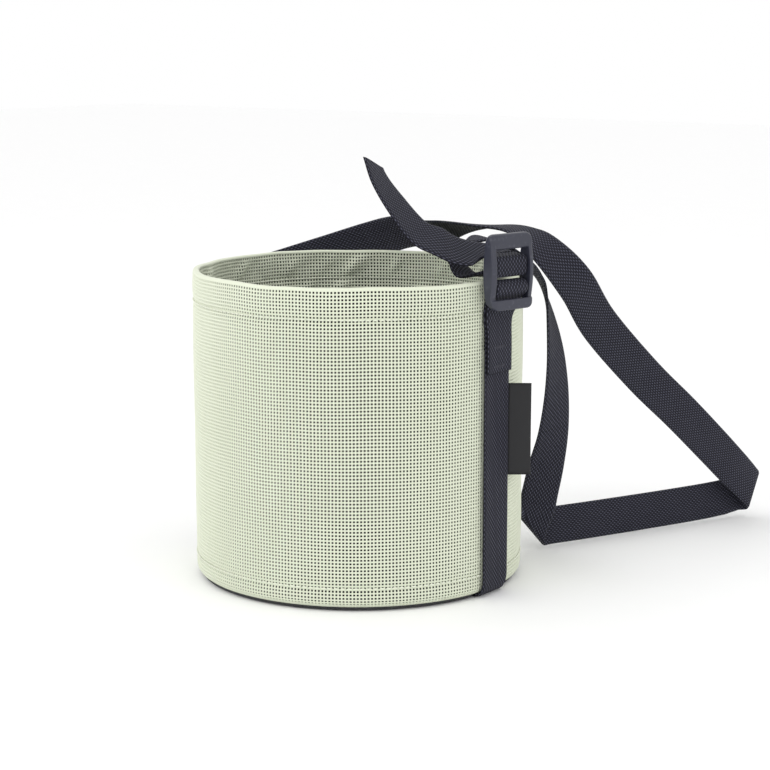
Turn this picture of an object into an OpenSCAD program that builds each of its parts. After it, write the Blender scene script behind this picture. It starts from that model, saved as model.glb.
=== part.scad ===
// Small round picking bag of coated open mesh, with a sewn webbing cradle and an
// adjustable carry strap. Millimetres, +Z up. The origin is the centre of the base,
// on the surface that the bag stands on. The buckle is on the +X side.

/* [Bag] */
// Outside radius of the mesh wall
bag_radius = 80; // [78:0.5:82]
// Height of the folded rim above the ground
bag_height = 150; // [146:1:154]
// Thickness of the coated mesh cloth
mesh_thick = 0.9; // [0.6:0.1:0.9]
// Thickness of the felt lining
felt_thick = 1; // [0.8:0.1:1]
// Depth of the rim fold inside the bag
fold_depth = 28; // [20:1:40]
// Rim stitch row, measured down from the rim
rim_row = 14.4; // [10:0.2:18]
// Base stitch row, measured up from the ground
base_row = 11; // [9:0.5:13]
// Outside radius of the rounded bottom corner
corner_radius = 4; // [3.8:0.1:4]

/* [Webbing] */
// Width of the webbing
web_width = 20; // [18:0.5:20]
// Thickness of the webbing
web_thick = 1.4; // [1:0.1:1.4]
// Height at which the near band's folded-back end is cut
cut_end = 107; // [100:1:110]
// Height at which both bands leave the wall
free_height = 119; // [117:1:120]

/* [Buckle] */
// Distance from the bag's axis to the buckle's lower bar
buckle_out = 87; // [86.5:0.1:87.5]
// Height of the buckle's lower bar
buckle_height = 147; // [146:0.5:148]
// Angle by which the buckle is turned from the wall
buckle_turn = 12; // [8:1:14]
// Width of the buckle across its two rails
buckle_width = 26.4; // [26:0.1:28]

/* [Label] */
// Length by which the label stands out of the seam
label_out = 11.5; // [8:0.5:14]
// Height of the label
label_tall = 44; // [30:1:50]
// Height of the label's lower edge
label_low = 56; // [40:1:60]
// Direction that the label points in, as a compass angle from +X
label_angle = 38; // [20:1:60]

/* [Hidden] */
$fn = 96;

mesh_colour = [0.84, 0.87, 0.76];
web_colour = [0.15, 0.15, 0.21];
felt_colour = [0.10, 0.11, 0.10];
plastic_colour = [0.22, 0.23, 0.29];
thread_gap = 0.05;
ply_gap = 0.1;

// The corner's centre leaves room for the webbing to pass under the mesh.
corner_in = bag_radius - corner_radius;
corner_up = corner_radius + web_thick + thread_gap;
mesh_inner = corner_radius - mesh_thick;
felt_outer = mesh_inner - ply_gap;
felt_inner = felt_outer - felt_thick;
flange_outer = felt_inner - ply_gap;
flange_inner = flange_outer - 0.9;
wrap_end = -65;
base_thick = 1;
flange_top = 14;
channel_gap = 0.3;
band_inner = bag_radius + thread_gap;
band_outer = band_inner + web_thick;
seam_angle = 0.05;
thread_radius = 0.3;

// Buckle sizes, in its own frame: X outwards, Y along the bars, Z up, lower bar at 0.
bar_radius = 2.2;
bar_wrap = bar_radius + 0.4 + web_thick / 2;
rail_thick = 2.7;
rail_low = -9.7;
rail_high = 25;
rail_depth = 7.4;
slot_half = buckle_width / 2 - rail_thick;
top_bar_up = 10;
top_bar_half = 3.4;
top_bar_deep = 1.1;

// The stretch of strap on the ground runs this way, from a point on it.
run_turn = 68.5;
run_from = [61, 117, 0];
fold_radius = 3.2;

function on_run(along, z) = run_from + [along * cos(run_turn), along * sin(run_turn), z];
function run_row(along, z, rise) = let(p = on_run(along, z)) [p[0], p[1], p[2], run_turn, rise, 1];

// A soft diagonal fold at one end of the run. The strap rolls about a fold line that leans by
// `lean` from the run: sense 1 leaves the run there, sense -1 arrives at it.
function soft_fold(start, lean, sense, turns) = let(
        along = [cos(run_turn), sin(run_turn), 0], out = [sin(run_turn), -cos(run_turn), 0],
        line = cos(lean) * along + sense * sin(lean) * [0, 0, 1],
        ahead = (along - cos(lean) * line) / sin(lean))
    [for (a = turns)
        let(p = start + sense * fold_radius * (sin(a) * ahead + a * PI / 180 / tan(lean) * line)
            + fold_radius * (1 - cos(a)) * out)
        [p[0], p[1], p[2], run_turn - (sense > 0 ? 180 : 0), -lean, 1]];

// Each row of a route is x, y, z, then the compass angle and the rise of the
// direction that runs across the webbing. A sixth value of 1 keeps that direction
// as it is, slanted; otherwise it is squared to the route.
strap_route = concat(
    [[79.5, 0, 154, 78, 0], [75, 0.4, 153, 84, 0], [66, 2, 151, 95, 0], [58, 6, 154, 105, 0],
    [54, 11, 161, 120, 0], [57, 15, 166, 135, 0], [65, 21, 165.5, 150, 0], [72, 30, 158, 150, 0],
    [70, 43.5, 150.8, 145, 0], [69.5, 57, 140, 130, 0], [73, 62, 115, 105, 0], [72, 67, 91, 90, 0],
    [67, 73, 67, 75, 0], [60, 77.5, 46, 58, -5], [55.8, 78.8, 31, 56, -14, 1],
    [53.8, 79.1, 22.5, 60, -32, 1]],
    soft_fold(on_run(-33.5, 10.3), 47.7, -1, [144, 108, 72, 36, 0]),
    [for (p = [[-29, 10.3, -54], [-22, 10.3, -68], [-12, 10.2, -82], [5, 10.1, -90], [40, 10.1, -90],
        [75, 10.4, -96], [92, 11.1, -103], [100.5, 12, -107]]) run_row(p[0], p[1], p[2])],
    soft_fold(on_run(106, 12.5), 70, 1, [0, 42, 84, 126, 168]),
    [[105.9, 210.9, 18.6, -112, -62, 1], [105.1, 205.6, 22.8, -117, -55, 1],
    [103.6, 195, 31, -128, -51, 1], [101, 175, 46.5, -138, -50], [97.5, 148, 67, -140, -50],
    [92, 118, 90, -140, -50], [88, 81, 120, -135, -50], [87, 59.5, 142.5, -120, -45],
    [79, 46, 159, -90, -35], [65, 43, 168.5, -65, -10], [45, 43, 169.5, -85, 5],
    [21, 51, 167, -105, 20], [-2, 62, 162, -95, 40], [-26, 72, 160, -75, 55],
    [-48, 73, 154, -50, 75], [-69, 60, 146, -50, 85], [-83, 38, 139, 175, 80],
    [-87, 19, 136, -160, 60], [-86, 5, 131, -110, 25], [-83, 0, 119, -90, 0]]);
tail_route = [
    [81.6, 0.4, 162, 79, 2, 1], [78.5, 0.3, 162, 88, 6, 1], [75.3, -1.7, 162, 104, 14, 1],
    [71, -7.5, 162.3, 120, 26, 1], [66.5, -14, 164.3, 124, 33, 1], [62, -20, 168.3, 110, 30],
    [54.5, -25, 172.5, 114, 30], [47, -31, 184, 117, 30], [40, -36.5, 197.5, 119, 30],
    [39, -41.5, 211, 110, 25]];
tail_steps = 3;
// How much shorter the tail is cut along one edge than along the other.
tail_slant = 14;
strap_steps = 2;
// The loop at the buckle and the free strap part company here, a few millimetres apart.
loop_last_ring = 15;
strap_first_ring = 16;

function unit(v) = v / norm(v);
function across(p) = [cos(p[4]) * cos(p[3]), cos(p[4]) * sin(p[3]), sin(p[4])];
function place(p) = [p[0], p[1], p[2]];
function past_end(list, i) = let(n = len(list) - 1)
    i < 0 ? 2 * list[0] - list[1] : i > n ? 2 * list[n] - list[n - 1] : list[i];
function curve(a, b, c, d, t) = 0.5 * (2 * b + (c - a) * t
    + (2 * a - 5 * b + 4 * c - d) * t * t + (3 * b - a - 3 * c + d) * t * t * t);
function smooth(list, steps) = let(n = len(list) - 1) concat(
    [for (i = [0 : n - 1], k = [0 : steps - 1]) curve(past_end(list, i - 1), list[i],
        list[i + 1], past_end(list, i + 2), k / steps)], [list[n]]);
function heading(line, i) = let(n = len(line) - 1)
    unit(line[min(i + 1, n)] - line[max(i - 1, 0)]);
function squared(side, t) = side - (side * t) * t;

// Cross-section of the webbing with eased edges, as width and thickness fractions.
web_section = let(e = 0.48, f = 0.3)
    [[e, -f], [0.5, 0], [e, f], [e - 0.04, 0.5], [-e + 0.04, 0.5], [-e, f], [-0.5, 0],
     [-e, -f], [-e + 0.04, -0.5], [e - 0.04, -0.5]];

// A flat strap swept along rings first to last of a route.
module ribbon(route, steps, first, last) {
    places = [for (p = route) place(p)];
    line = smooth(places, steps);
    sides = smooth([for (i = [0 : len(route) - 1])
        len(route[i]) > 5 ? across(route[i]) : unit(squared(across(route[i]), heading(places, i)))], steps);
    count = len(web_section);
    points = [for (i = [first : last])
        let(t = heading(line, i), q = squared(sides[i], t), w = sides[i] / norm(q), n = cross(t, unit(q)))
        for (s = web_section) line[i] + w * s[0] * web_width + n * s[1] * web_thick];
    rings = last - first;
    walls = [for (i = [0 : rings - 1], j = [0 : count - 1])
        let(a = i * count + j, b = i * count + (j + 1) % count)
        each [[a, b, b + count], [a, b + count, a + count]]];
    start_cap = [for (j = [1 : count - 2]) [0, j + 1, j]];
    end_cap = let(o = rings * count) [for (j = [1 : count - 2]) [o, o + j, o + j + 1]];
    polyhedron(points = points, faces = [for (f = concat(walls, start_cap, end_cap)) [f[2], f[1], f[0]]]);
}

function ring_count(route, steps) = (len(route) - 1) * steps;

// Points on an arc about [x, z], from angle a to b.
function arc(x, z, r, a, b, n = 10) =
    [for (i = [0 : n]) let(t = a + (b - a) * i / n) [x + r * cos(t), z + r * sin(t)]];

// Half-section of a ply that follows the wall and wraps under the corner.
function wall_ply(outer, inner, top) = concat(
    arc(corner_in, corner_up, outer, wrap_end, 0), [[corner_in + outer, top],
    [corner_in + inner, top]], arc(corner_in, corner_up, inner, 0, wrap_end));

// One cloth panel: the outer wall, the fold over the rim and the fold's inside leaf.
module panel() {
    leaf_outer = felt_inner - ply_gap * 2;
    leaf_inner = leaf_outer - mesh_thick;
    section = concat(
        arc(corner_in, corner_up, corner_radius, wrap_end, 0),
        arc(bag_radius - 1.2, bag_height - 1.2, 1.2, 0, 90, 6),
        arc(corner_in + leaf_inner + 1, bag_height - 1, 1, 90, 180, 6),
        [[corner_in + leaf_inner, bag_height - fold_depth],
         [corner_in + leaf_outer, bag_height - fold_depth],
         [corner_in + leaf_outer, bag_height - mesh_thick - 0.1],
         [corner_in + mesh_inner, bag_height - mesh_thick - 0.1]],
        arc(corner_in, corner_up, mesh_inner, 0, wrap_end));
    rotate([0, 0, seam_angle])
        rotate_extrude(angle = 180 - 2 * seam_angle)
            polygon(section);
}

module front_panel() {
    color(mesh_colour) rotate([0, 0, 180]) panel();
}

module rear_panel() {
    color(mesh_colour) panel();
}

module lining_wall() {
    color(felt_colour)
        rotate_extrude()
            polygon(wall_ply(felt_outer, felt_inner, bag_height - mesh_thick - 0.5));
}

module lining_base() {
    color(felt_colour)
        translate([0, 0, web_thick + channel_gap + base_thick])
            cylinder(r = corner_in - 0.5, h = 0.9);
}

// Under panel of coated cloth, with its edge turned up inside the lining.
module base_panel() {
    flange = concat(
        [[corner_in - 0.2, base_thick - 0.1], [corner_in + 0.8, base_thick - 0.1]],
        arc(corner_in, corner_up, flange_outer, wrap_end, 0),
        [[corner_in + flange_outer, flange_top], [corner_in + flange_inner, flange_top]],
        arc(corner_in, corner_up, flange_inner, 0, wrap_end));
    reach = corner_in - 0.1;
    half = web_width / 2 + channel_gap;
    roof = web_thick + 0.1;
    color(felt_colour) {
        difference() {
            union() {
                cylinder(r = corner_in + 1.2, h = base_thick);
                rotate_extrude() polygon(flange);
            }
            translate([-bag_radius, -half, -1])
                cube([2 * bag_radius, 2 * half, roof + 1]);
        }
        intersection() {
            cylinder(r = reach, h = roof + base_thick);
            difference() {
                translate([-bag_radius, -half - base_thick, 0])
                    cube([2 * bag_radius, 2 * (half + base_thick), roof + base_thick]);
                translate([-bag_radius, -half, -1])
                    cube([2 * bag_radius, 2 * half, roof + 1]);
            }
        }
    }
}

// Webbing sewn up the near side, under the base and up the far side.
module cradle_band() {
    outer = corner_radius + thread_gap + web_thick;
    inner = corner_radius + thread_gap;
    half = web_width / 2;
    color(web_colour) {
        intersection() {
            rotate_extrude($fn = 180)
                polygon(concat(
                    arc(corner_in, corner_up, outer, -90, 0),
                    [[corner_in + outer, free_height - 1], [corner_in + inner, free_height - 1]],
                    arc(corner_in, corner_up, inner, 0, -90)));
            translate([-bag_radius * 2, -half, -1])
                cube([bag_radius * 4, web_width, bag_height]);
        }
        intersection() {
            cylinder(r = corner_in + 0.02, h = web_thick, $fn = 180);
            translate([-bag_radius, -half, 0])
                cube([2 * bag_radius, web_width, web_thick]);
        }
    }
}

// A point of the buckle's own frame as a route row, with the webbing along its bars.
function at_buckle(p) = [buckle_out + p[0] * cos(buckle_turn), -p[0] * sin(buckle_turn),
    buckle_height + p[1], 90 - buckle_turn, 0];

// The near band's end, round the buckle's lower bar and back down the outside.
loop_route = let(wall_in = band_inner + web_thick / 2, wall_out = band_outer + thread_gap + web_thick / 2)
    concat(
        [[wall_out, 0, cut_end, 90, 0], [wall_out, 0, cut_end + 6, 90, 0],
         [wall_out, 0, free_height, 90, 0], [wall_out, 0, free_height + 7, 90, 0],
         [wall_out + 0.2, 0, free_height + 14, 86, 0]],
        [for (p = [[-3.1, -8.4], [-1, -5.2]]) at_buckle(p)],
        [for (a = [-52 : 29 : 180]) at_buckle([bar_wrap * cos(a), bar_wrap * sin(a)])],
        [for (p = [[-4, -3.8], [-5, -8.4]]) at_buckle(p)],
        [[wall_in + 0.15, 0, free_height + 14, 86, 0], [wall_in, 0, free_height + 7, 90, 0],
         [wall_in, 0, free_height, 90, 0]]);

module buckle_loop() {
    color(web_colour) ribbon(loop_route, 2, 0, ring_count(loop_route, 2));
}

// Side view of a rail: a long lens with blunt ends.
rail_section = let(mid = (rail_low + rail_high) / 2, half = (rail_high - rail_low) / 2, n = 14)
    concat(
        [for (i = [0 : n]) let(s = -1 + 2 * i / n)
            [0.4 + 1 + (rail_depth / 2 - 1) * (1 - s * s), mid + half * s * (1 - 0.02 * s * s)]],
        [for (i = [n : -1 : 0]) let(s = -1 + 2 * i / n)
            [0.4 - 1 - (rail_depth / 2 - 1) * (1 - s * s), mid + half * s * (1 - 0.02 * s * s)]]);

// Closed outline of a bar with round ends, from z low to high and x back to front.
function bar_outline(back, front, low, high, r, n = 4) = concat(
    arc(front - r, high - r, r, 0, 90, n), arc(back + r, high - r, r, 90, 180, n),
    arc(back + r, low + r, r, 180, 270, n), arc(front - r, low + r, r, 270, 360, n));

module along_bars(length) {
    translate([0, length / 2, 0]) rotate([90, 0, 0]) linear_extrude(length) children();
}

module in_buckle_frame() {
    translate([buckle_out, 0, buckle_height]) rotate([0, 0, -buckle_turn]) children();
}

// Moulded ladder buckle: two rails and four cross bars in one piece.
module buckle() {
    inside = buckle_width - 2 * rail_thick + 1;
    color(plastic_colour)
        in_buckle_frame() {
            for (side = [-1, 1])
                translate([0, side * (buckle_width - rail_thick) / 2, 0])
                    along_bars(rail_thick) polygon(rail_section);
            translate([0, inside / 2, 0]) rotate([90, 0, 0]) cylinder(r = bar_radius, h = inside, $fn = 48);
            along_bars(inside)
                polygon(bar_outline(0.2 - top_bar_deep, 0.2 + top_bar_deep,
                    top_bar_up - top_bar_half, top_bar_up + top_bar_half, 1));
            along_bars(inside) polygon(bar_outline(-1.6, 2.6, 17.9, rail_high + 0.3, 1.3));
            along_bars(inside) polygon(bar_outline(1.6, 4.2, rail_low - 0.3, -5, 1.2));
        }
}

// The stretch of strap that grips the buckle's upper bar, from its inside face under the bar.
threaded_route = let(r = 1.9, x = 0.3, low = top_bar_up - 2.4, high = top_bar_up + 2.4)
    [for (p = concat([[-4.7, low - r + 0.6], [-2.8, low - r + 0.15], [-1, low - r]],
        [for (a = [-90 : 30 : 0]) [x + r * cos(a), low + r * sin(a)]],
        [[x + r, low + 1], [x + r, high - 1]],
        [for (a = [0 : 30 : 90]) [x + r * cos(a), high + r * sin(a)]],
        [[-1, high + r], [-2.6, high + r + 0.15], [-4.2, high + r + 0.6]])) at_buckle(p)];

module threaded_webbing() {
    color(web_colour) ribbon(threaded_route, 2, 0, ring_count(threaded_route, 2));
}

module strap_loop() {
    color(web_colour) ribbon(strap_route, strap_steps, 0, loop_last_ring);
}

module carry_strap() {
    color(web_colour)
        ribbon(strap_route, strap_steps, strap_first_ring, ring_count(strap_route, strap_steps));
}

// The strap's free end, cut off at a slant from its tip.
module strap_tail() {
    places = [for (p = tail_route) place(p)];
    line = smooth(places, tail_steps);
    last = len(places) - 1;
    end = places[last];
    t = heading(line, len(line) - 1);
    w = unit(squared(squared(across(tail_route[last]), heading(places, last)), t));
    cut = unit(web_width * w - tail_slant * t);
    n = cross(t, w);
    out = cross(cut, n) * sign(cross(cut, n) * t);
    tip = end - w * web_width / 2;
    color(web_colour)
        difference() {
            ribbon(tail_route, tail_steps, 0, ring_count(tail_route, tail_steps));
            multmatrix([for (i = [0 : 2]) [cut[i], n[i], out[i], tip[i]]])
                translate([-10, -12, 0]) cube([40, 24, 20]);
        }
}

// Folded label: two leaves that stand out from the seam beside the near band.
label_hinge = let(a = asin((web_width / 2 + 0.8) / bag_radius)) [bag_radius * cos(a) + 0.9, bag_radius * sin(a)];

module label() {
    color("black")
        translate([label_hinge[0], label_hinge[1], label_low])
            rotate([0, 0, label_angle]) {
                translate([0, -0.4, 0]) cube([label_out, 0.35, label_tall]);
                translate([0, 0.05, 0]) cube([label_out, 0.35, label_tall]);
                translate([label_out - 0.4, -0.3, 0]) cube([0.4, 0.6, label_tall]);
            }
}

module thread_arc(height, centre_radius) {
    edge = asin((web_width / 2 + 1) / bag_radius);
    for (side = [0, 180])
        rotate([0, 0, side + edge])
            rotate_extrude(angle = 180 - 2 * edge)
                translate([centre_radius, height]) circle(r = thread_radius, $fn = 16);
}

module rim_stitching() {
    color(mesh_colour) thread_arc(bag_height - rim_row, bag_radius + thread_radius + thread_gap);
}

module base_stitching() {
    color(mesh_colour) thread_arc(base_row, bag_radius + thread_radius + thread_gap);
}

// Two rows of thread along a band, one beside each edge.
module band_rows(side) {
    inset = web_width / 2 - 2;
    face = sqrt(band_outer * band_outer - inset * inset) + thread_radius + thread_gap;
    low = corner_up + 4;
    for (y = [-inset, inset])
        translate([side * face, y, low]) cylinder(r = thread_radius, h = cut_end - 3 - low, $fn = 16);
}

module near_band_stitching() {
    color(web_colour) band_rows(1);
}

module far_band_stitching() {
    color(web_colour) band_rows(-1);
}

// Dense rows of stitches across the webbing.
module bartack(x, z) {
    rise = 1.6;
    inset = 1.5;
    translate([x, -web_width / 2 + inset, z - rise / 2]) cube([0.4, web_width - 2 * inset, rise]);
}

module near_bartacks() {
    face = band_outer + web_thick + 2 * thread_gap;
    color(web_colour) {
        bartack(face, cut_end + 3);
        bartack(face, free_height);
    }
}

module far_bartacks() {
    color(web_colour) {
        bartack(-band_outer - 0.4 - thread_gap, cut_end + 2);
        bartack(-band_outer - 0.4 - thread_gap, free_height - 5);
    }
}

// Row of thread that holds the label to the wall at the seam.
module label_stitching() {
    a = asin((web_width / 2 + 0.35) / bag_radius);
    r = bag_radius + thread_radius * 0.7 + 0.02;
    color("black")
        translate([r * cos(a), r * sin(a), label_low + 1])
            cylinder(r = thread_radius * 0.7, h = label_tall - 2, $fn = 16);
}

front_panel();
rear_panel();
lining_wall();
lining_base();
base_panel();
cradle_band();
buckle_loop();
buckle();
threaded_webbing();
strap_loop();
carry_strap();
strap_tail();
label();
rim_stitching();
base_stitching();
near_band_stitching();
far_band_stitching();
near_bartacks();
far_bartacks();
label_stitching();
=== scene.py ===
# %% [markdown]
# # A small round picking bag of open mesh
#
# The bag is a drum of pale coated mesh, 160 mm across and 150 mm tall, with a dark felt lining.
# A navy webbing cradle is sewn up one side, under the base and up the other side.
# A ladder buckle hangs in the cradle's near end and takes up an adjustable carry strap.
#
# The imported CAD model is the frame: it says where each part is and what moves.
# Each cell below makes one visible piece in that frame, in metres, and lays it on its body.

# %% Load the frame
import math

import bmesh
import bpy
import numpy as np
from mathutils import Matrix, Vector, noise


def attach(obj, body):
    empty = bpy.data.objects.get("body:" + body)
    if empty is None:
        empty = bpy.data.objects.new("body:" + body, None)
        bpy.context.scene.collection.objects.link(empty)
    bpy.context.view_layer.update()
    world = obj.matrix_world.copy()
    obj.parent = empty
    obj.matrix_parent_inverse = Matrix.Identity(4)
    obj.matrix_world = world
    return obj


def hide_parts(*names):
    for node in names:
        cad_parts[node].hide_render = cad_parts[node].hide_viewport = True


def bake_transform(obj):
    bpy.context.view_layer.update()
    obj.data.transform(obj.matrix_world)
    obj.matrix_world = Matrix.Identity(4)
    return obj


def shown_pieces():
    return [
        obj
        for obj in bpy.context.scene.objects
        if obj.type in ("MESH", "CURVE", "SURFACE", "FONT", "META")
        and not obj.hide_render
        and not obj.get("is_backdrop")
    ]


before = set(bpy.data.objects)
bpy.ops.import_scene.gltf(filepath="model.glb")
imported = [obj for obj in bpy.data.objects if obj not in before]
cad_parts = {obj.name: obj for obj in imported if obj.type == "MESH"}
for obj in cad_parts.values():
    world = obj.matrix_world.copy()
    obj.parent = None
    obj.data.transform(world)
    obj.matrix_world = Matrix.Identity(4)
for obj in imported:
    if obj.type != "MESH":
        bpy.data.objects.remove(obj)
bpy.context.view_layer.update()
MM = 0.001

# %% [markdown]
# ## Camera
#
# A long lens from a metre away keeps the drum's sides nearly parallel, as a catalogue picture does.
# The camera stands a little above the rim, so the opening shows as a narrow ellipse.
# Its direction could come from a Track To constraint. A plain quaternion is enough and stays put.

# %% Place the camera
VIEW_AZIMUTH = math.radians(37.7)
TURN_RIGHT = math.radians(0.745)
TILT_DOWN = math.radians(10.08)
EYE_HEIGHT = 0.2698

scene = bpy.context.scene
camera = bpy.data.objects.new("camera", bpy.data.cameras.new("camera"))
scene.collection.objects.link(camera)
scene.camera = camera
camera.location = (math.sin(VIEW_AZIMUTH), -math.cos(VIEW_AZIMUTH), EYE_HEIGHT)
heading = VIEW_AZIMUTH - TURN_RIGHT
looking = Vector((-math.sin(heading), math.cos(heading), -math.tan(TILT_DOWN))).normalized()
camera.rotation_mode = "QUATERNION"
camera.rotation_quaternion = looking.to_track_quat("-Z", "Y")
camera.data.sensor_width = 36
camera.data.lens = 96.85
camera.data.clip_start = 0.05
camera.data.clip_end = 50
print("camera at", [round(x, 3) for x in camera.location], "lens", camera.data.lens)

# %% [markdown]
# ## Floor and light
#
# The bag stands on a plain pale sheet. The world gives most of the light, so no shadow is hard,
# and a large soft panel from the upper left models the drum's roundness.
# A lamp could be a point or a sun. Area lamps are used because a studio's soft boxes are flat panels.

# %% Light the stage
FLOOR_DROP = 0.0003


def lamp(name, place, aim, size, watts):
    """A square soft box at place that faces aim."""
    light = bpy.data.lights.new(name, "AREA")
    light.size = size
    light.energy = watts
    holder = bpy.data.objects.new(name, light)
    holder.location = place
    holder.rotation_mode = "QUATERNION"
    holder.rotation_quaternion = (Vector(aim) - Vector(place)).to_track_quat("-Z", "Y")
    scene.collection.objects.link(holder)
    return holder


world = bpy.data.worlds.new("studio")
world.use_nodes = True
world.node_tree.nodes["Background"].inputs["Color"].default_value = (1.0, 1.0, 1.0, 1.0)
world.node_tree.nodes["Background"].inputs["Strength"].default_value = 1.0
scene.world = world
scene.view_settings.view_transform = "Standard"
lamp("key_panel", (-0.35, -1.15, 1.0), (0, 0, 0.08), 0.9, 5)
lamp("fill_panel", (1.3, -0.2, 0.6), (0, 0, 0.08), 0.8, 1.5)

# %% [markdown]
# ## A small language for node trees
#
# A material is a formula, so it reads best as one. `Wire` wraps a node's socket: `a * b + 1`
# adds the Math nodes for it. `Bench` holds one tree, and its method `node` makes any other node:
# first its settings, then the values or wires of its sockets. Its other methods are short forms of
# what most finishes need. The same bench builds the Geometry Nodes trees, because both kinds of tree
# share these sockets.

# %% Wires and benches
class Wire:
    """A socket that Python's signs work on."""

    def __init__(self, bench, node, socket):
        self.bench = bench
        self.owner = node
        self.socket = socket

    def out(self, key):
        """Another output of the same node."""
        return Wire(self.bench, self.owner, pick(self.owner.outputs, key))

    def maths(self, operation, *others):
        """This value put through a Math node, with the others after it."""
        values = dict(enumerate((self,) + others))
        return self.bench.node("ShaderNodeMath", {"operation": operation}, values)

    def __add__(self, other):
        return self.maths("ADD", other)

    def __sub__(self, other):
        return self.maths("SUBTRACT", other)

    def __mul__(self, other):
        return self.maths("MULTIPLY", other)

    def __truediv__(self, other):
        return self.maths("DIVIDE", other)


def pick(sockets, key):
    """A socket by its place, its identifier or its name."""
    if isinstance(key, int):
        return sockets[key]
    for socket in sockets:
        if socket.identifier == key:
            return socket
    return next(s for s in sockets if s.name == key and s.enabled)


class Bench:
    """One node tree on the bench."""

    def __init__(self, tree):
        self.tree = tree

    def node(self, kind, settings=None, values=None):
        """A node of any kind, as the wire of its first output."""
        made = self.tree.nodes.new(kind)
        for name, value in (settings or {}).items():
            setattr(made, name, value)
        for key, value in (values or {}).items():
            socket = pick(made.inputs, key)
            if isinstance(value, Wire):
                self.tree.links.new(value.socket, socket)
            else:
                socket.default_value = value
        first = next((s for s in made.outputs if s.enabled), None)
        return Wire(self, made, first)

    def blend(self, share, low, high):
        """One colour turning into another."""
        values = {"Factor_Float": share, "A_Color": solid(low), "B_Color": solid(high)}
        made = self.node("ShaderNodeMix", {"data_type": "RGBA"}, values)
        return made.out("Result_Color")

    def spread(self, value, low, high):
        """A wire from 0 to 1 stretched to run from low to high."""
        return value * (high - low) + low

    def grain(self, scale, detail=2.0, stretch=(1, 1, 1)):
        """Noise in the bag's own coordinates, scale in grains to the metre."""
        place = self.node("ShaderNodeTexCoord").out("Object")
        moved = self.node("ShaderNodeMapping", None, {"Vector": place, "Scale": stretch})
        values = {"Vector": moved, "Scale": scale, "Detail": detail}
        return self.node("ShaderNodeTexNoise", None, values)

    def bumped(self, height, depth, strength=1.0):
        """A normal from a height, depth in metres."""
        values = {"Height": height, "Distance": depth, "Strength": strength}
        return self.node("ShaderNodeBump", None, values)


def solid(colour):
    """A colour of three numbers with its fourth, or a wire as it is."""
    return colour if isinstance(colour, Wire) else (*colour, 1.0)


def new_finish(name):
    """A new material: its bench and its main shader."""
    material = bpy.data.materials.new(name)
    material.use_nodes = True
    bench = Bench(material.node_tree)
    shader = material.node_tree.nodes["Principled BSDF"]
    return material, bench, shader


def feed(bench, shader, values):
    """Sets the shader's sockets, by value or by wire."""
    for key, value in values.items():
        socket = pick(shader.inputs, key)
        if isinstance(value, Wire):
            bench.tree.links.new(value.socket, socket)
        else:
            socket.default_value = value


# %% [markdown]
# ## Webbing finish
#
# Strap webbing is a heavy warp-faced weave. Twenty ribs of yarn run side by side along the strap,
# and each rib dives under a cross yarn every other pick, half a step after its neighbour.
# That is two cosines: one across a rib, one along it, with odd ribs shifted by half a turn.
# It follows the strap's own UV map, which counts in strap widths, so the ribs turn with every bend.

# %% Webbing
RIBS = 20
PICKS_PER_WIDTH = 8.7

webbing_finish, bench, shader = new_finish("webbing_weave")
strap_uv = bench.node("ShaderNodeUVMap", {"uv_map": "weave"})
parted = bench.node("ShaderNodeSeparateXYZ", None, {"Vector": strap_uv})
rib = parted.out("X") * RIBS
along = parted.out("Y") * PICKS_PER_WIDTH
fray = bench.grain(900, 2.0)
crown = (rib.maths("FRACT") * math.pi).maths("SINE")
lap = (along + rib.maths("FLOOR") * 0.5 + fray * 0.10) * (2 * math.pi)
over = lap.maths("COSINE") * 0.5 + 0.5
height = crown * (over * 0.75 + 0.25)
fibres = bench.grain(2600, 3.0)
worn = bench.grain(60, 3.0)
# The colour paints light on the weave: the crowns of the ribs are painted lighter as glints, and the
# hollows between them are painted darker as shade.
tops = height.maths("POWER", 2.4)
painted_glint_and_shade = tops * 0.95 + fibres * 0.16 - 0.06
yarn = bench.blend(painted_glint_and_shade, (0.003, 0.003, 0.007), (0.105, 0.108, 0.155))
dusty = bench.blend((worn - 0.35).maths("MAXIMUM", 0.0) * 0.12, yarn, (0.09, 0.09, 0.12))
feed(bench, shader, {
    "Base Color": dusty,
    "Roughness": bench.spread(tops, 0.78, 0.5),
    "Normal": bench.bumped(height + fibres * 0.12, 0.0004, 1.0),
    "Specular IOR Level": 0.22,
    "Sheen Weight": 0.02,
    "Sheen Roughness": 0.5,
})
print("webbing: ribs", RIBS, "and picks per strap width", PICKS_PER_WIDTH)

# %% [markdown]
# ## Other cloths and threads
#
# The mesh is polyester yarn dipped in soft plastic: pale sage, smooth, with a faint satin gloss.
# Its holes are real geometry, so the finish only carries the coating: slow stains and a fine skin.
# The felt is short dark fibres lying every way, so two stretched noises cross in it.
# Threads are twisted, which a slanted wave shows. The label is a fine satin weave without any text.

# %% Mesh coating, felt, base cloth
mesh_finish, bench, shader = new_finish("coated_mesh")
stain = bench.grain(14, 3.0)
skin = bench.grain(3800, 2.0)
pale = bench.blend(stain, (0.69, 0.73, 0.575), (0.775, 0.81, 0.665))
feed(bench, shader, {
    "Base Color": bench.blend(skin * 0.16, pale, (0.53, 0.57, 0.44)),
    "Roughness": bench.spread(skin, 0.42, 0.6),
    "Normal": bench.bumped(skin, 0.00006, 0.6),
    "Specular IOR Level": 0.4,
})

felt_finish, bench, shader = new_finish("lining_felt")
hairs = bench.grain(1400, 4.0, (1, 1, 0.25))
crossed = bench.grain(1400, 4.0, (0.3, 0.3, 1))
nap = hairs * 0.5 + crossed * 0.5
clump = bench.grain(90, 3.0)
feed(bench, shader, {
    "Base Color": bench.blend(nap * 0.7 + clump * 0.3, (0.003, 0.004, 0.003), (0.020, 0.023, 0.018)),
    "Roughness": bench.spread(nap, 0.85, 1.0),
    "Normal": bench.bumped(nap, 0.0005, 0.8),
    "Specular IOR Level": 0.15,
})

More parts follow.
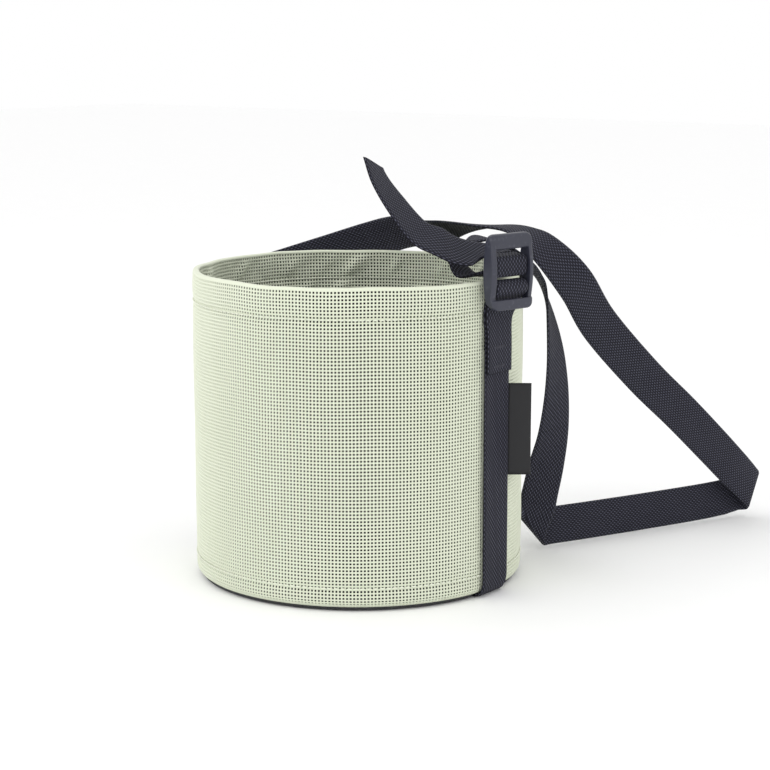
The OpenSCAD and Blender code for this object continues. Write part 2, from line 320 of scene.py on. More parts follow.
base_finish, bench, shader = new_finish("base_cloth")
place = bench.node("ShaderNodeTexCoord").out("Object")
parted = bench.node("ShaderNodeSeparateXYZ", None, {"Vector": place})
warp = (parted.out("X") * (2 * math.pi / 0.0008)).maths("SINE")
weft = (parted.out("Y") * (2 * math.pi / 0.0008)).maths("SINE")
basket = warp * weft * 0.5 + 0.5
scuff = bench.grain(40, 4.0)
feed(bench, shader, {
    "Base Color": bench.blend(basket * 0.6 + scuff * 0.4, (0.008, 0.009, 0.010), (0.045, 0.046, 0.050)),
    "Roughness": bench.spread(scuff, 0.5, 0.8),
    "Normal": bench.bumped(basket, 0.0001, 0.8),
})
print("finishes:", [m.name for m in (mesh_finish, felt_finish, base_finish)])

# %% Threads, label cloth, buckle plastic
def thread_finish(name, dark, light):
    """Twisted thread of one colour."""
    material, bench, shader = new_finish(name)
    place = bench.node("ShaderNodeTexCoord").out("Object")
    parted = bench.node("ShaderNodeSeparateXYZ", None, {"Vector": place})
    slant = parted.out("X") + parted.out("Y") + parted.out("Z") * 1.7
    twist = (slant * (2 * math.pi / 0.0006)).maths("SINE") * 0.5 + 0.5
    fluff = bench.grain(3000, 2.0)
    feed(bench, shader, {
        "Base Color": bench.blend(twist * 0.6 + fluff * 0.4, dark, light),
        "Roughness": bench.spread(fluff, 0.5, 0.75),
        "Normal": bench.bumped(twist, 0.00008, 0.7),
    })
    return material


pale_thread = thread_finish("pale_thread", (0.70, 0.73, 0.60), (0.90, 0.92, 0.80))
navy_thread = thread_finish("navy_thread", (0.006, 0.006, 0.012), (0.06, 0.06, 0.085))

label_finish, bench, shader = new_finish("label_satin")
label_uv = bench.node("ShaderNodeUVMap", {"uv_map": "weave"})
parted = bench.node("ShaderNodeSeparateXYZ", None, {"Vector": label_uv})
course = parted.out("Y") / 0.00035
floats = (parted.out("X") / 0.0007 + course.maths("FLOOR") * 0.4).maths("FRACT")
ridge = (course.maths("FRACT") * math.pi).maths("SINE")
satin = ridge * ((floats - 0.5).maths("ABSOLUTE") * -1.2 + 1.0)
feed(bench, shader, {
    "Base Color": bench.blend(satin, (0.002, 0.002, 0.003), (0.012, 0.012, 0.015)),
    "Roughness": bench.spread(satin, 0.7, 0.45),
    "Normal": bench.bumped(satin, 0.00008, 0.8),
})

plastic_finish, bench, shader = new_finish("buckle_plastic")
pitted = bench.grain(1500, 3.0)
flow = bench.grain(70, 3.0, (1, 1, 0.4))
rubbed = bench.grain(420, 4.0)
slate = bench.blend(flow, (0.024, 0.026, 0.042), (0.036, 0.038, 0.058))
marks = (rubbed - 0.58) * 3.0
feed(bench, shader, {
    "Base Color": bench.blend(marks.maths("MAXIMUM", 0.0), slate, (0.085, 0.088, 0.115)),
    "Roughness": bench.spread(pitted, 0.30, 0.46),
    "Normal": bench.bumped(pitted, 0.00006, 0.6),
    "Specular IOR Level": 0.5,
})
print("more finishes:", pale_thread.name, navy_thread.name, label_finish.name, plastic_finish.name)

# %% [markdown]
# ## How a strap is made
#
# A strap is a flat band with eased edges that follows a line and turns as it goes. Blender's curve
# bevel could sweep it, but it can't be told which way the band faces at each point. So each point of
# a route also gives the compass angle and rise of the direction across the band. Both the line and
# that direction are smoothed with one Catmull-Rom spline, the same one as in the CAD source.

# %% Strap maker
STRAP_WIDTH = 20 * MM
STRAP_THICK = 1.4 * MM


def catmull_rom(points, steps):
    """A smooth line through points, with steps to each stretch."""
    points = np.asarray(points, float)
    first = 2 * points[0] - points[1]
    last = 2 * points[-1] - points[-2]
    held = np.vstack([first, points, last])
    line = []
    for i in range(len(points) - 1):
        a, b, c, d = held[i:i + 4]
        for t in np.arange(steps) / steps:
            line.append(0.5 * (2 * b + (c - a) * t + (2 * a - 5 * b + 4 * c - d) * t * t
                               + (3 * b - a - 3 * c + d) * t ** 3))
    line.append(points[-1])
    return np.array(line)


def squared(sides, ahead):
    """The part of each side direction that is square to the way ahead."""
    return sides - (sides * ahead).sum(1, keepdims=True) * ahead


def headings(line):
    """The way ahead at each point."""
    ahead = np.gradient(line, axis=0)
    return ahead / np.linalg.norm(ahead, axis=1, keepdims=True)


def rows_to_line(route, steps=10):
    """Centre line and across directions of a route, in metres. A sixth value keeps a row slanted."""
    rows = np.array([row[:5] for row in route], float)
    slanted = np.array([len(row) > 5 for row in route])
    turn = np.radians(rows[:, 3])
    rise = np.radians(rows[:, 4])
    across = np.stack([np.cos(rise) * np.cos(turn), np.cos(rise) * np.sin(turn), np.sin(rise)], 1)
    flat = squared(across, headings(rows[:, :3]))
    flat /= np.linalg.norm(flat, axis=1, keepdims=True)
    across = np.where(slanted[:, None], across, flat)
    return catmull_rom(rows[:, :3] * MM, steps), catmull_rom(across, steps)


def length_of(line):
    """Length of a line of points."""
    return float(np.linalg.norm(np.diff(line, axis=0), axis=1).sum())


def evenly(line, sides, gap):
    """The same line and sides with points a given gap apart."""
    run = np.concatenate([[0], np.cumsum(np.linalg.norm(np.diff(line, axis=0), axis=1))])
    count = max(2, int(round(run[-1] / gap)) + 1)
    marks = np.linspace(0, run[-1], count)
    even = [np.stack([np.interp(marks, run, part[:, k]) for k in range(3)], 1) for part in (line, sides)]
    return even[0], even[1], marks


def strap_section(columns=16):
    """Outline of the band: places across and through it, with eased edges, and its UV across."""
    top = np.linspace(0.5, -0.5, columns + 1)
    lift = 0.5 * np.clip((0.5 - np.abs(top)) / 0.035, 0, 1) ** 0.5
    lift[0] = lift[-1] = 0.12
    outline = [(s, h) for s, h in zip(top, lift)]
    outline += [(-s, -h) for s, h in zip(top, lift)]
    return np.array(outline)


def mesh_object(name, points, faces, material, uvs=None, smooth=True):
    """A mesh object from points and faces, with an optional UV for each face corner."""
    data = bpy.data.meshes.new(name)
    data.from_pydata([tuple(p) for p in points], [], [tuple(f) for f in faces])
    if uvs is not None:
        layer = data.uv_layers.new(name="weave")
        layer.data.foreach_set("uv", np.asarray(uvs, np.float32).ravel())
    data.polygons.foreach_set("use_smooth", [smooth] * len(data.polygons))
    data.materials.append(material)
    data.update()
    piece = bpy.data.objects.new(name, data)
    scene.collection.objects.link(piece)
    return piece


def quad(i, j, count):
    """The face beside point j between rings i and i + 1 of count points each."""
    k = (j + 1) % count
    return (i * count + j, i * count + k, (i + 1) * count + k, (i + 1) * count + j)


def face_outwards(piece):
    """Turns every face of a closed piece outwards."""
    shell = bmesh.new()
    shell.from_mesh(piece.data)
    bmesh.ops.recalc_face_normals(shell, faces=shell.faces)
    shell.to_mesh(piece.data)
    shell.free()


def strap(name, line, sides, start=0.0, gap=1.0 * MM, bow=None):
    """A flat band along line. bow gives how far its edges drop back at each point."""
    line, sides, marks = evenly(line, sides, gap)
    ahead = headings(line)
    flat = squared(sides, ahead)
    size = np.linalg.norm(flat, axis=1, keepdims=True)
    out = np.cross(ahead, flat / size)
    sides = sides / size
    slant = (sides * ahead).sum(1)
    section = strap_section()
    count = len(section)
    drop = np.zeros(len(line)) if bow is None else np.array([bow(p) for p in line])
    points = []
    for i in range(len(line)):
        for s, h in section:
            back = drop[i] * (2 * s) ** 2
            points.append(line[i] + sides[i] * s * STRAP_WIDTH + out[i] * (h * STRAP_THICK - back))
    faces = []
    uvs = []
    across = np.abs(section[:, 0] + 0.5)
    along = ((marks + start) / STRAP_WIDTH)[:, None] + slant[:, None] * section[None, :, 0]
    for i in range(len(line) - 1):
        for j in range(count):
            k = (j + 1) % count
            faces.append(quad(i, j, count))
            uvs += [(across[j], along[i, j]), (across[k], along[i, k]),
                    (across[k], along[i + 1, k]), (across[j], along[i + 1, j])]
    for ring, turned in ((0, True), (len(line) - 1, False)):
        cap = [ring * count + j for j in range(count)]
        cap_uv = [(across[j], along[ring, j]) for j in range(count)]
        faces.append(cap[::-1] if turned else cap)
        uvs += cap_uv[::-1] if turned else cap_uv
    return mesh_object(name, points, faces, webbing_finish, uvs)


print("strap:", STRAP_WIDTH, "wide,", STRAP_THICK, "thick,", len(strap_section()), "points round")

# %% [markdown]
# ## The carry strap
#
# One length of webbing leaves the buckle, makes a small loop inside the rim, goes over it and down
# to the ground behind, turns back there, rises again and crosses over the mouth to the far side.
# The strap swings with its body, while its two ends are sewn or buckled to the bag. It is made
# as two pieces that meet where the strap hangs free.

# %% Folds of the strap on the ground
RUN_TURN = 68.5
RUN_FROM = np.array([61.0, 117.0, 0.0])
RUN_ALONG = np.array([math.cos(math.radians(RUN_TURN)), math.sin(math.radians(RUN_TURN)), 0.0])
RUN_OUT = np.array([RUN_ALONG[1], -RUN_ALONG[0], 0.0])
UP = np.array([0.0, 0.0, 1.0])
FOLD_RADIUS = 3.2


def on_run(along, z):
    """A place on the stretch of strap that lies on the ground."""
    return RUN_FROM + along * RUN_ALONG + z * UP


def run_row(along, z, rise):
    """A row of that stretch, kept slanted."""
    return (*on_run(along, z), RUN_TURN, rise, 1)


def soft_fold(start, lean, sense, turns):
    """A soft diagonal fold: the strap rolls about a line that leans by lean degrees from the run."""
    lie = math.radians(lean)
    line = math.cos(lie) * RUN_ALONG + sense * math.sin(lie) * UP
    ahead = (RUN_ALONG - math.cos(lie) * line) / math.sin(lie)
    rows = []
    for turn in np.radians(turns):
        roll = math.sin(turn) * ahead + turn / math.tan(lie) * line
        place = start + sense * FOLD_RADIUS * roll + FOLD_RADIUS * (1 - math.cos(turn)) * RUN_OUT
        rows.append((*place, RUN_TURN - (180 if sense > 0 else 0), -lean, 1))
    return rows


near_fold = soft_fold(on_run(-33.5, 10.3), 47.7, -1, [144, 108, 72, 36, 0])
far_fold = soft_fold(on_run(106, 12.5), 70, 1, [0, 42, 84, 126, 168])
run = [run_row(-29, 10.3, -54), run_row(-22, 10.3, -68), run_row(-12, 10.2, -82),
       run_row(5, 10.1, -90), run_row(40, 10.1, -90), run_row(75, 10.4, -96),
       run_row(92, 11.1, -103), run_row(100.5, 12, -107)]
print("folds:", len(near_fold), "and", len(far_fold), "rows, with", len(run), "between")

# %% Carry strap
STRAP_DOWN = [
    (79.5, 0, 154, 78, 0), (75, 0.4, 153, 84, 0), (66, 2, 151, 95, 0), (58, 6, 154, 105, 0),
    (54, 11, 161, 120, 0), (57, 15, 166, 135, 0), (65, 21, 165.5, 150, 0), (72, 30, 158, 150, 0),
    (70, 43.5, 150.8, 145, 0), (69.5, 57, 140, 130, 0), (73, 62, 115, 105, 0), (72, 67, 91, 90, 0),
    (67, 73, 67, 75, 0), (60, 77.5, 46, 58, -5), (55.8, 78.8, 31, 56, -14, 1),
    (53.8, 79.1, 22.5, 60, -32, 1),
]
STRAP_UP = [
    (105.9, 210.9, 18.6, -112, -62, 1), (105.1, 205.6, 22.8, -117, -55, 1),
    (103.6, 195, 31, -128, -51, 1), (101, 175, 46.5, -138, -50), (97.5, 148, 67, -140, -50),
    (92, 118, 90, -140, -50), (88, 81, 120, -135, -50), (87, 59.5, 142.5, -120, -45),
    (79, 46, 159, -90, -35), (65, 43, 168.5, -65, -10), (45, 43, 169.5, -85, 5),
    (21, 51, 167, -105, 20), (-2, 62, 162, -95, 40), (-26, 72, 160, -75, 55),
    (-48, 73, 154, -50, 75), (-69, 60, 146, -50, 85), (-83, 38, 139, 175, 80),
    (-87, 19, 136, -160, 60), (-86, 5, 131, -110, 25), (-83, 0, 119, -90, 0),
]
STRAP_ROUTE = STRAP_DOWN + near_fold + run + far_fold + STRAP_UP
STRAP_STEPS = 10
PARTING_ROW = 12

whole_line, whole_sides = rows_to_line(STRAP_ROUTE, STRAP_STEPS)
parting = PARTING_ROW * STRAP_STEPS
lead_line = whole_line[:parting + 1]
main_line = whole_line[parting:]
lead_length = length_of(lead_line)
strap_lead = strap("strap_lead", lead_line, whole_sides[:parting + 1])
strap_main = strap("strap_main", main_line, whole_sides[parting:], start=lead_length)

# %% [markdown]
# ## The tail
#
# The spare end stands up from the buckle and is cut off at a slant with a hot knife.
# A plane cuts the finished band, and the cut is closed with one face.

# %% Strap tail
TAIL_ROUTE = [
    (81.6, 0.4, 162, 79, 2, 1), (78.5, 0.3, 162, 88, 6, 1), (75.3, -1.7, 162, 104, 14, 1),
    (71, -7.5, 162.3, 120, 26, 1), (66.5, -14, 164.3, 124, 33, 1), (62, -20, 168.3, 110, 30),
    (54.5, -25, 172.5, 114, 30), (47, -31, 184, 117, 30), (40, -36.5, 197.5, 119, 30),
    (39, -41.5, 211, 110, 25),
]
TAIL_SLANT = 14 * MM
tail_line, tail_sides = rows_to_line(TAIL_ROUTE)
strap_tail = strap("strap_tail_end", tail_line, tail_sides)
last_way = headings(tail_line)[-1]
last_side = squared(tail_sides, headings(tail_line))[-1]
last_side /= np.linalg.norm(last_side)
tip = tail_line[-1] - last_side * STRAP_WIDTH / 2
slit = STRAP_WIDTH * last_side - TAIL_SLANT * last_way
knife = np.cross(slit, np.cross(last_way, last_side))
knife *= np.sign(knife @ last_way) / np.linalg.norm(knife)
cut = bmesh.new()
cut.from_mesh(strap_tail.data)
found = bmesh.ops.bisect_plane(
    cut, geom=cut.verts[:] + cut.edges[:] + cut.faces[:], dist=1e-6,
    plane_co=tip, plane_no=knife, clear_outer=True)
rim_edges = [e for e in found["geom_cut"] if isinstance(e, bmesh.types.BMEdge)]
bmesh.ops.contextual_create(cut, geom=rim_edges)
cut.to_mesh(strap_tail.data)
cut.free()
print("tail:", round(length_of(tail_line), 4), "m,", len(strap_tail.data.polygons), "faces")

# %% [markdown]
# ## The cradle and the buckle's loop
#
# A second length of webbing starts high on the far side, runs down the wall, under the base and up
# the near side, leaves the wall, goes round the buckle's lower bar and comes back down on itself.
# It is one strap here, as on the real bag. Against the round wall its edges drop back by the
# sagitta of the wall's curve, half a width squared over twice the radius.

# %% Cradle
BAG_RADIUS = 80.0
FREE_HEIGHT = 119.0
CUT_END = 107.0
CORNER_IN = 76.0
CORNER_UP = 5.45
BAND_MID = 80.75
BUCKLE_AT = (87.0, 147.0)
BUCKLE_TURN = math.radians(12)
BAR_WRAP = 3.3


def at_buckle(x, z):
    """A route row from a place in the buckle's own plane."""
    return (BUCKLE_AT[0] + x * math.cos(BUCKLE_TURN), -x * math.sin(BUCKLE_TURN),
            BUCKLE_AT[1] + z, 78, 0)


def corner_rows(side):
    """The band round the bottom corner on one side."""
    reach = BAND_MID - CORNER_IN
    rows = []
    for angle in (0, -22, -45, -68, -90):
        turn = math.radians(angle)
        x = side * (CORNER_IN + reach * math.cos(turn))
        rows.append((x, 0, CORNER_UP + reach * math.sin(turn), 90, 0))
    return rows


far_wall = [(-BAND_MID, 0, z, 90, 0) for z in (118, 90, 60, 30, 12)]
base_run = [(x, 0, 0.7, 90, 0) for x in (-60, -30, 0, 30, 60)]
near_wall = [(BAND_MID, 0, z, 90, 0) for z in (12, 30, 60, 90, 112, FREE_HEIGHT)]
rise = [(80.8, 0, 126, 90, 0), (80.9, 0, 133, 86, 0)]
rise += [at_buckle(-5, -8.4), at_buckle(-4, -3.8)]
wrap = [at_buckle(BAR_WRAP * math.cos(math.radians(a)), BAR_WRAP * math.sin(math.radians(a)))
        for a in range(180, -53, -29)]
back = [at_buckle(-1, -5.2), at_buckle(-3.1, -8.4), (82.4, 0, 133, 86, 0), (82.2, 0, 126, 90, 0),
        (82.2, 0, FREE_HEIGHT, 90, 0), (82.2, 0, 113, 90, 0), (82.2, 0, CUT_END, 90, 0)]
cradle_route = far_wall + corner_rows(-1) + base_run + corner_rows(1)[::-1] + near_wall + rise
cradle_route += wrap + back
cradle_line, cradle_sides = rows_to_line(cradle_route, 8)


def wall_bow(point):
    """How far the band's edges drop back where it lies on the round wall."""
    on_wall = min(max((point[2] - 0.004) / 0.004, 0), 1) * min(max((0.135 - point[2]) / 0.012, 0), 1)
    toward_wall = 1 if point[0] < 0.0815 else -1
    return on_wall * toward_wall * (STRAP_WIDTH / 2) ** 2 / (2 * BAG_RADIUS * MM)


cradle = strap("webbing_cradle", cradle_line, cradle_sides, bow=wall_bow)
print("cradle:", round(length_of(cradle_line), 4), "m")

# %% [markdown]
# ## Webbing gripped by the buckle
#
# The strap comes from inside the bag under the upper bar, climbs the bar's front and goes back over
# its top. This short stretch tilts with the buckle, so it is a piece of its own.

# %% Threaded webbing
GRIP_ROUND = 1.9
GRIP_X = 0.3
GRIP_LOW = 7.6
GRIP_HIGH = 12.4


def grip_corner(height, first):
    """The webbing round one rounded edge of the upper bar."""
    return [(GRIP_X + GRIP_ROUND * math.cos(a), height + GRIP_ROUND * math.sin(a))
            for a in np.radians((first, first + 30, first + 60, first + 90))]


under = GRIP_LOW - GRIP_ROUND
above = GRIP_HIGH + GRIP_ROUND
grip_places = [(-5.8, under + 0.85), (-4.7, under + 0.6), (-2.8, under + 0.15), (-1, under)]
grip_places += grip_corner(GRIP_LOW, -90)
grip_places += [(GRIP_X + GRIP_ROUND, GRIP_LOW + 1), (GRIP_X + GRIP_ROUND, GRIP_HIGH - 1)]
grip_places += grip_corner(GRIP_HIGH, 0)
grip_places += [(-1, above), (-2.6, above + 0.15), (-4.8, above + 0.6)]
grip_line, grip_sides = rows_to_line([at_buckle(x, z) for x, z in grip_places])
grip = strap("webbing_in_buckle", grip_line, grip_sides, gap=0.5 * MM)
print("threaded webbing:", round(length_of(grip_line), 4), "m")

# %% [markdown]
# ## The buckle
#
# A ladder buckle is moulded in one shot: two lens-shaped rails and four cross bars, every edge
# rounded by the mould. Bevels on joined blocks would show seams. So the parts are made as plain
# closed solids that overlap, a voxel remesh fuses them, and a few smoothing passes make the fillets.

# %% Moulded buckle
BUCKLE_WIDTH = 26.4
RAIL_THICK = 2.7
RAIL_LOW = -9.7
RAIL_HIGH = 25.0
RAIL_DEEP = 7.4
RAIL_MID = 0.4
VOXEL = 0.24 * MM


def lens_outline(count=16):
    """Side view of a rail."""
    mid = (RAIL_LOW + RAIL_HIGH) / 2
    half = (RAIL_HIGH - RAIL_LOW) / 2
    places = np.linspace(-1, 1, count + 1)
    belly = 1 + (RAIL_DEEP / 2 - 1) * (1 - places ** 2)
    heights = mid + half * places * (1 - 0.02 * places ** 2)
    front = list(zip(RAIL_MID + belly, heights))
    rear = list(zip(RAIL_MID - belly, heights))[::-1]
    return np.array(front + rear)


def bar_outline(back_at, front_at, low, high, radius, count=5):
    """Section of a cross bar with round corners."""
    centres = [(front_at - radius, high - radius, 0), (back_at + radius, high - radius, 90),
               (back_at + radius, low + radius, 180), (front_at - radius, low + radius, 270)]
    outline = []
    for x, z, first in centres:
        for angle in np.radians(np.linspace(first, first + 90, count)):
            outline.append((x + radius * math.cos(angle), z + radius * math.sin(angle)))
    return np.array(outline)


def loft(outlines, places):
    """Points and faces of a closed solid through outlines at places along the bars."""
    count = len(outlines[0])
    points = [(x, y, z) for outline, y in zip(outlines, places) for x, z in outline]
    faces = [quad(i, j, count) for i in range(len(places) - 1) for j in range(count)]
    faces.append(tuple(range(count))[::-1])
    faces.append(tuple((len(places) - 1) * count + j for j in range(count)))
    return points, faces


def round_corner(depth, radius):
    """How much a rounded corner takes off at a depth in from the side."""
    left = max(radius - depth, 0)
    return radius - math.sqrt(max(radius ** 2 - left ** 2, 0))


solids = []
for side in (-1, 1):
    outlines = []
    places = []
    for depth in (0, 0.25, 0.6, 1.1, 1.8, RAIL_THICK):
        ring = lens_outline()
        ring[:, 0] = RAIL_MID + (ring[:, 0] - RAIL_MID) * (1 - 0.16 * round_corner(depth, 1.6))
        ring[:, 0] += 1.5 * np.clip((-4 - ring[:, 1]) / 6, 0, 1) ** 2
        low = RAIL_LOW + round_corner(depth, 4.2)
        high = RAIL_HIGH - round_corner(depth, 2.4)
        ring[:, 1] = np.clip(ring[:, 1], low, high)
        outlines.append(ring)
        places.append(side * (BUCKLE_WIDTH / 2 - depth))
    solids.append(loft(outlines, places))
reach = BUCKLE_WIDTH / 2 - RAIL_THICK + 0.6
wheel = [(2.2 * math.cos(a), 2.2 * math.sin(a)) for a in np.radians(np.arange(0, 360, 15))]
bars = [np.array(wheel), bar_outline(-0.9, 1.3, 6.6, 13.4, 1.05)]
for outline in bars:
    solids.append(loft([outline, outline], [-reach, reach]))
edge_steps = (0, 0.3, 0.8, 1.5, 2.5, 3.6, 5)
sweep = [-BUCKLE_WIDTH / 2 + d for d in edge_steps] + [BUCKLE_WIDTH / 2 - d for d in edge_steps[::-1]]
foot = []
lip = []
for y in sweep:
    depth = BUCKLE_WIDTH / 2 - abs(y)
    front_at = 4.2 - 0.75 * round_corner(depth, 2.6)
    back_at = 0.6 if depth < 2.6 else 1.7
    foot.append(bar_outline(back_at, front_at, -9.9 + round_corner(depth, 4.2), -5, 0.65))
    lip.append(bar_outline(-1.6, 2.6, 17.9, 25.2 - round_corner(depth, 3.4), 1.4))
solids += [loft(foot, sweep), loft(lip, sweep)]
turn_buckle = Matrix.Translation((BUCKLE_AT[0] * MM, 0, BUCKLE_AT[1] * MM))
turn_buckle = turn_buckle @ Matrix.Rotation(-BUCKLE_TURN, 4, "Z")
points = []
faces = []
for part_points, part_faces in solids:
    faces += [tuple(len(points) + i for i in face) for face in part_faces]
    points += [Vector(p) * MM for p in part_points]
buckle = mesh_object("moulded_buckle", points, faces, plastic_finish)
face_outwards(buckle)


def settle(piece):
    """Turns a piece's modifiers into plain mesh."""
    bpy.context.view_layer.update()
    graph = bpy.context.evaluated_depsgraph_get()
    made = bpy.data.meshes.new_from_object(piece.evaluated_get(graph), depsgraph=graph)
    piece.modifiers.clear()
    made.name = piece.name
    piece.data = made
    return piece


fuse = buckle.modifiers.new("fuse", "REMESH")
fuse.mode = "VOXEL"
fuse.voxel_size = VOXEL
fuse.use_smooth_shade = True
soften = buckle.modifiers.new("soften", "SMOOTH")
soften.factor = 0.5
soften.iterations = 5
settle(buckle)
buckle.data.transform(turn_buckle)
print("buckle:", len(buckle.data.polygons), "faces")

# %% [markdown]
# ## The mesh wall
#
# The mesh is what one sees first: about three hundred columns of small square holes. A picture of
# holes would look flat at the sides, so each hole is cut. The plain cloth is laid out first as a grid
# with one quad to each hole: up from the rounded bottom corner, over the rolled rim and down inside.
# Then Geometry Nodes open every marked quad: they inset it, sink the inset a little so the
# yarns look round, push it in for the hole's walls, and take its floor away.

# %% Cloth profile
COLUMNS = 304
RIM_TOP = 150.0
LEAF_FACE = 76.9
LEAF_LOW = 122.0
RIM_ROW = 135.6
BASE_ROW = 11.0
HOLE_DEPTH = 0.62
HOLE_SHARE = 0.58
HOLE_SINK = 0.12
ROW_SWAY = 0.9


def cloth_profile():
    """Rows of the cloth as radius, height and kind: wall, rim or leaf."""
    rows = []
    for angle in np.radians(np.linspace(-65, 0, 4)[:-1]):
        rows.append((CORNER_IN + 4 * math.cos(angle), CORNER_UP + 4 * math.sin(angle), "corner"))
    for z in np.linspace(CORNER_UP, RIM_TOP - 1.2, 88):
        rows.append((BAG_RADIUS, z, "wall"))
    for angle in np.radians((22, 45, 68, 90)):
        rows.append((78.8 + 1.2 * math.cos(angle), 148.8 + 1.2 * math.sin(angle), "rim"))
    for angle in np.radians((90, 112, 135, 158)):
        rows.append((77.9 + math.cos(angle), 149 + math.sin(angle), "rim"))
    for z in np.linspace(149, LEAF_LOW, 17):
        rows.append((LEAF_FACE, z, "leaf"))
    rows.append((LEAF_FACE + 0.35, LEAF_LOW - 0.35, "edge"))
    rows.append((LEAF_FACE + 0.8, LEAF_LOW, "edge"))
    return rows


def bell(value, middle, width):
    """A soft hump of height 1."""
    return math.exp(-((value - middle) / width) ** 2)


def fade(value, low, high):
    """Smooth 0 to 1 from low to high."""
    share = min(max((value - low) / (high - low), 0), 1)
    return share * share * (3 - 2 * share)


def off_bands(turn):
    """1 away from the webbing bands, 0 under them."""
    return fade(abs(math.sin(turn)) * BAG_RADIUS, 10, 24)


def wall_swell(turn, z):
    """The wall's unevenness: slow waves, and the pull of the stitch rows."""
    around = Vector((math.cos(turn), math.sin(turn), 0)) * 2.2
    wave = noise.noise(around + Vector((0, 0, z / 45)))
    free = fade(z, 8, 30) * fade(RIM_TOP - z, 3, 10)
    dents = -0.5 * bell(z, RIM_ROW, 1.5) - 0.42 * bell(z, BASE_ROW, 1.5)
    belly = 0.3 * bell(z, 143, 4.5)
    return off_bands(turn) * (0.48 * wave * free + dents + belly)


def leaf_swell(turn, z):
    """The inside leaf's soft slanting wrinkles, as a distance inwards."""
    around = turn * BAG_RADIUS
    crossing = 0.80 * around + 0.60 * z
    lying = 0.60 * around - 0.80 * z
    wrinkle = noise.noise(Vector((crossing / 9.0, lying / 34.0, 4.1)))
    wrinkle += 0.5 * noise.noise(Vector((crossing / 4.2, lying / 16.0, 9.7)))
    free = fade(RIM_TOP - z, 1.5, 6) * (1 - bell(z, RIM_ROW, 3.0))
    pinch = -0.3 * bell(z, RIM_ROW, 1.5)
    return max(wrinkle, -0.12) * 2.9 * free + pinch * off_bands(turn)


profile = cloth_profile()
print("cloth rows:", len(profile), "columns:", COLUMNS)

# %% Cloth grid
def wall_point(radius, z, kind, turn):
    """A point of the cloth, in metres."""
    sway = ROW_SWAY * noise.noise(Vector((3 * math.cos(turn), 3 * math.sin(turn), 7.3)))
    z += sway * off_bands(turn) * (fade(z, 125, 148) if kind == "leaf" else fade(z, 20, 90))
    if kind in ("wall", "corner"):
        radius += wall_swell(turn, z)
    if kind in ("leaf", "edge"):
        radius -= leaf_swell(turn, z)
    return (radius * math.cos(turn) * MM, radius * math.sin(turn) * MM, z * MM)


def is_open(row, turn):
    """True where the cloth has holes: off the rim and clear of the webbing."""
    low, high = profile[row], profile[row + 1]
    if low[2] in ("rim", "edge") or high[2] in ("rim", "edge"):
        return False
    hidden = abs(math.sin(turn)) * BAG_RADIUS < 9 and high[1] < FREE_HEIGHT and low[2] != "leaf"
    return not hidden


def cloth_grid(name, first, last):
    """Plain cloth between two columns, with an attribute that marks the faces to be opened."""
    turns = [2 * math.pi * i / COLUMNS for i in range(first, last + 1)]
    wide = len(turns)
    points = [wall_point(*row, turn) for row in profile for turn in turns]
    faces = []
    marks = []
    for i in range(len(profile) - 1):
        for j in range(wide - 1):
            faces.append((i * wide + j, i * wide + j + 1, (i + 1) * wide + j + 1, (i + 1) * wide + j))
            marks.append(is_open(i, (turns[j] + turns[j + 1]) / 2))
    piece = mesh_object(name, points, faces, mesh_finish)
    attribute = piece.data.attributes.new("is_open", "BOOLEAN", "FACE")
    attribute.data.foreach_set("value", marks)
    return piece


quarter = COLUMNS // 4
cloth = {
    "rear_panel_near": (cloth_grid("rear_panel_near", 0, quarter), "rear_panel"),
    "rear_panel_far": (cloth_grid("rear_panel_far", quarter, 2 * quarter), "rear_panel"),
    "front_panel_far": (cloth_grid("front_panel_far", 2 * quarter, 3 * quarter), "front_panel"),
    "front_panel_near": (cloth_grid("front_panel_near", 3 * quarter, 4 * quarter), "front_panel"),
}
print("plain cloth:", {name: len(c[0].data.polygons) for name, c in cloth.items()})

# %% [markdown]
# ## Opening the holes
#
# The tree takes any quad sheet. Its inputs are the hole's share of the cell, how far the hole's edge
# sinks below the yarn crossings, and how deep the hole's walls go.

# %% Hole-opening tree
def new_tree(name, inputs):
    """A Geometry Nodes tree with a geometry input, more inputs with defaults, and an output."""
    tree = bpy.data.node_groups.new(name, "GeometryNodeTree")
    tree.interface.new_socket("Geometry", in_out="INPUT", socket_type="NodeSocketGeometry")
    for label, kind, value in inputs:
        socket = tree.interface.new_socket(label, in_out="INPUT", socket_type=kind)
        if value is not None:
            socket.default_value = value
    tree.interface.new_socket("Geometry", in_out="OUTPUT", socket_type="NodeSocketGeometry")
    bench = Bench(tree)
    return tree, bench, bench.node("NodeGroupInput")


def run_tree(piece, tree, values):
    """Runs a tree on a piece with inputs by name, and leaves plain mesh."""
    modifier = piece.modifiers.new(tree.name, "NODES")
    modifier.node_group = tree
    names = {i.name: i.identifier for i in tree.interface.items_tree if i.in_out == "INPUT"}
    for name, value in values.items():
        modifier[names[name]] = value
    return settle(piece)


def close_tree(bench, shape, material):
    """The last nodes of every tree."""
    smooth = bench.node("GeometryNodeSetShadeSmooth", None, {"Geometry": shape})
    plain = bench.node("GeometryNodeRealizeInstances", None, {"Geometry": smooth})
    dressed = bench.node("GeometryNodeSetMaterial", None, {"Geometry": plain, "Material": material})
    bench.node("NodeGroupOutput", None, {"Geometry": dressed})


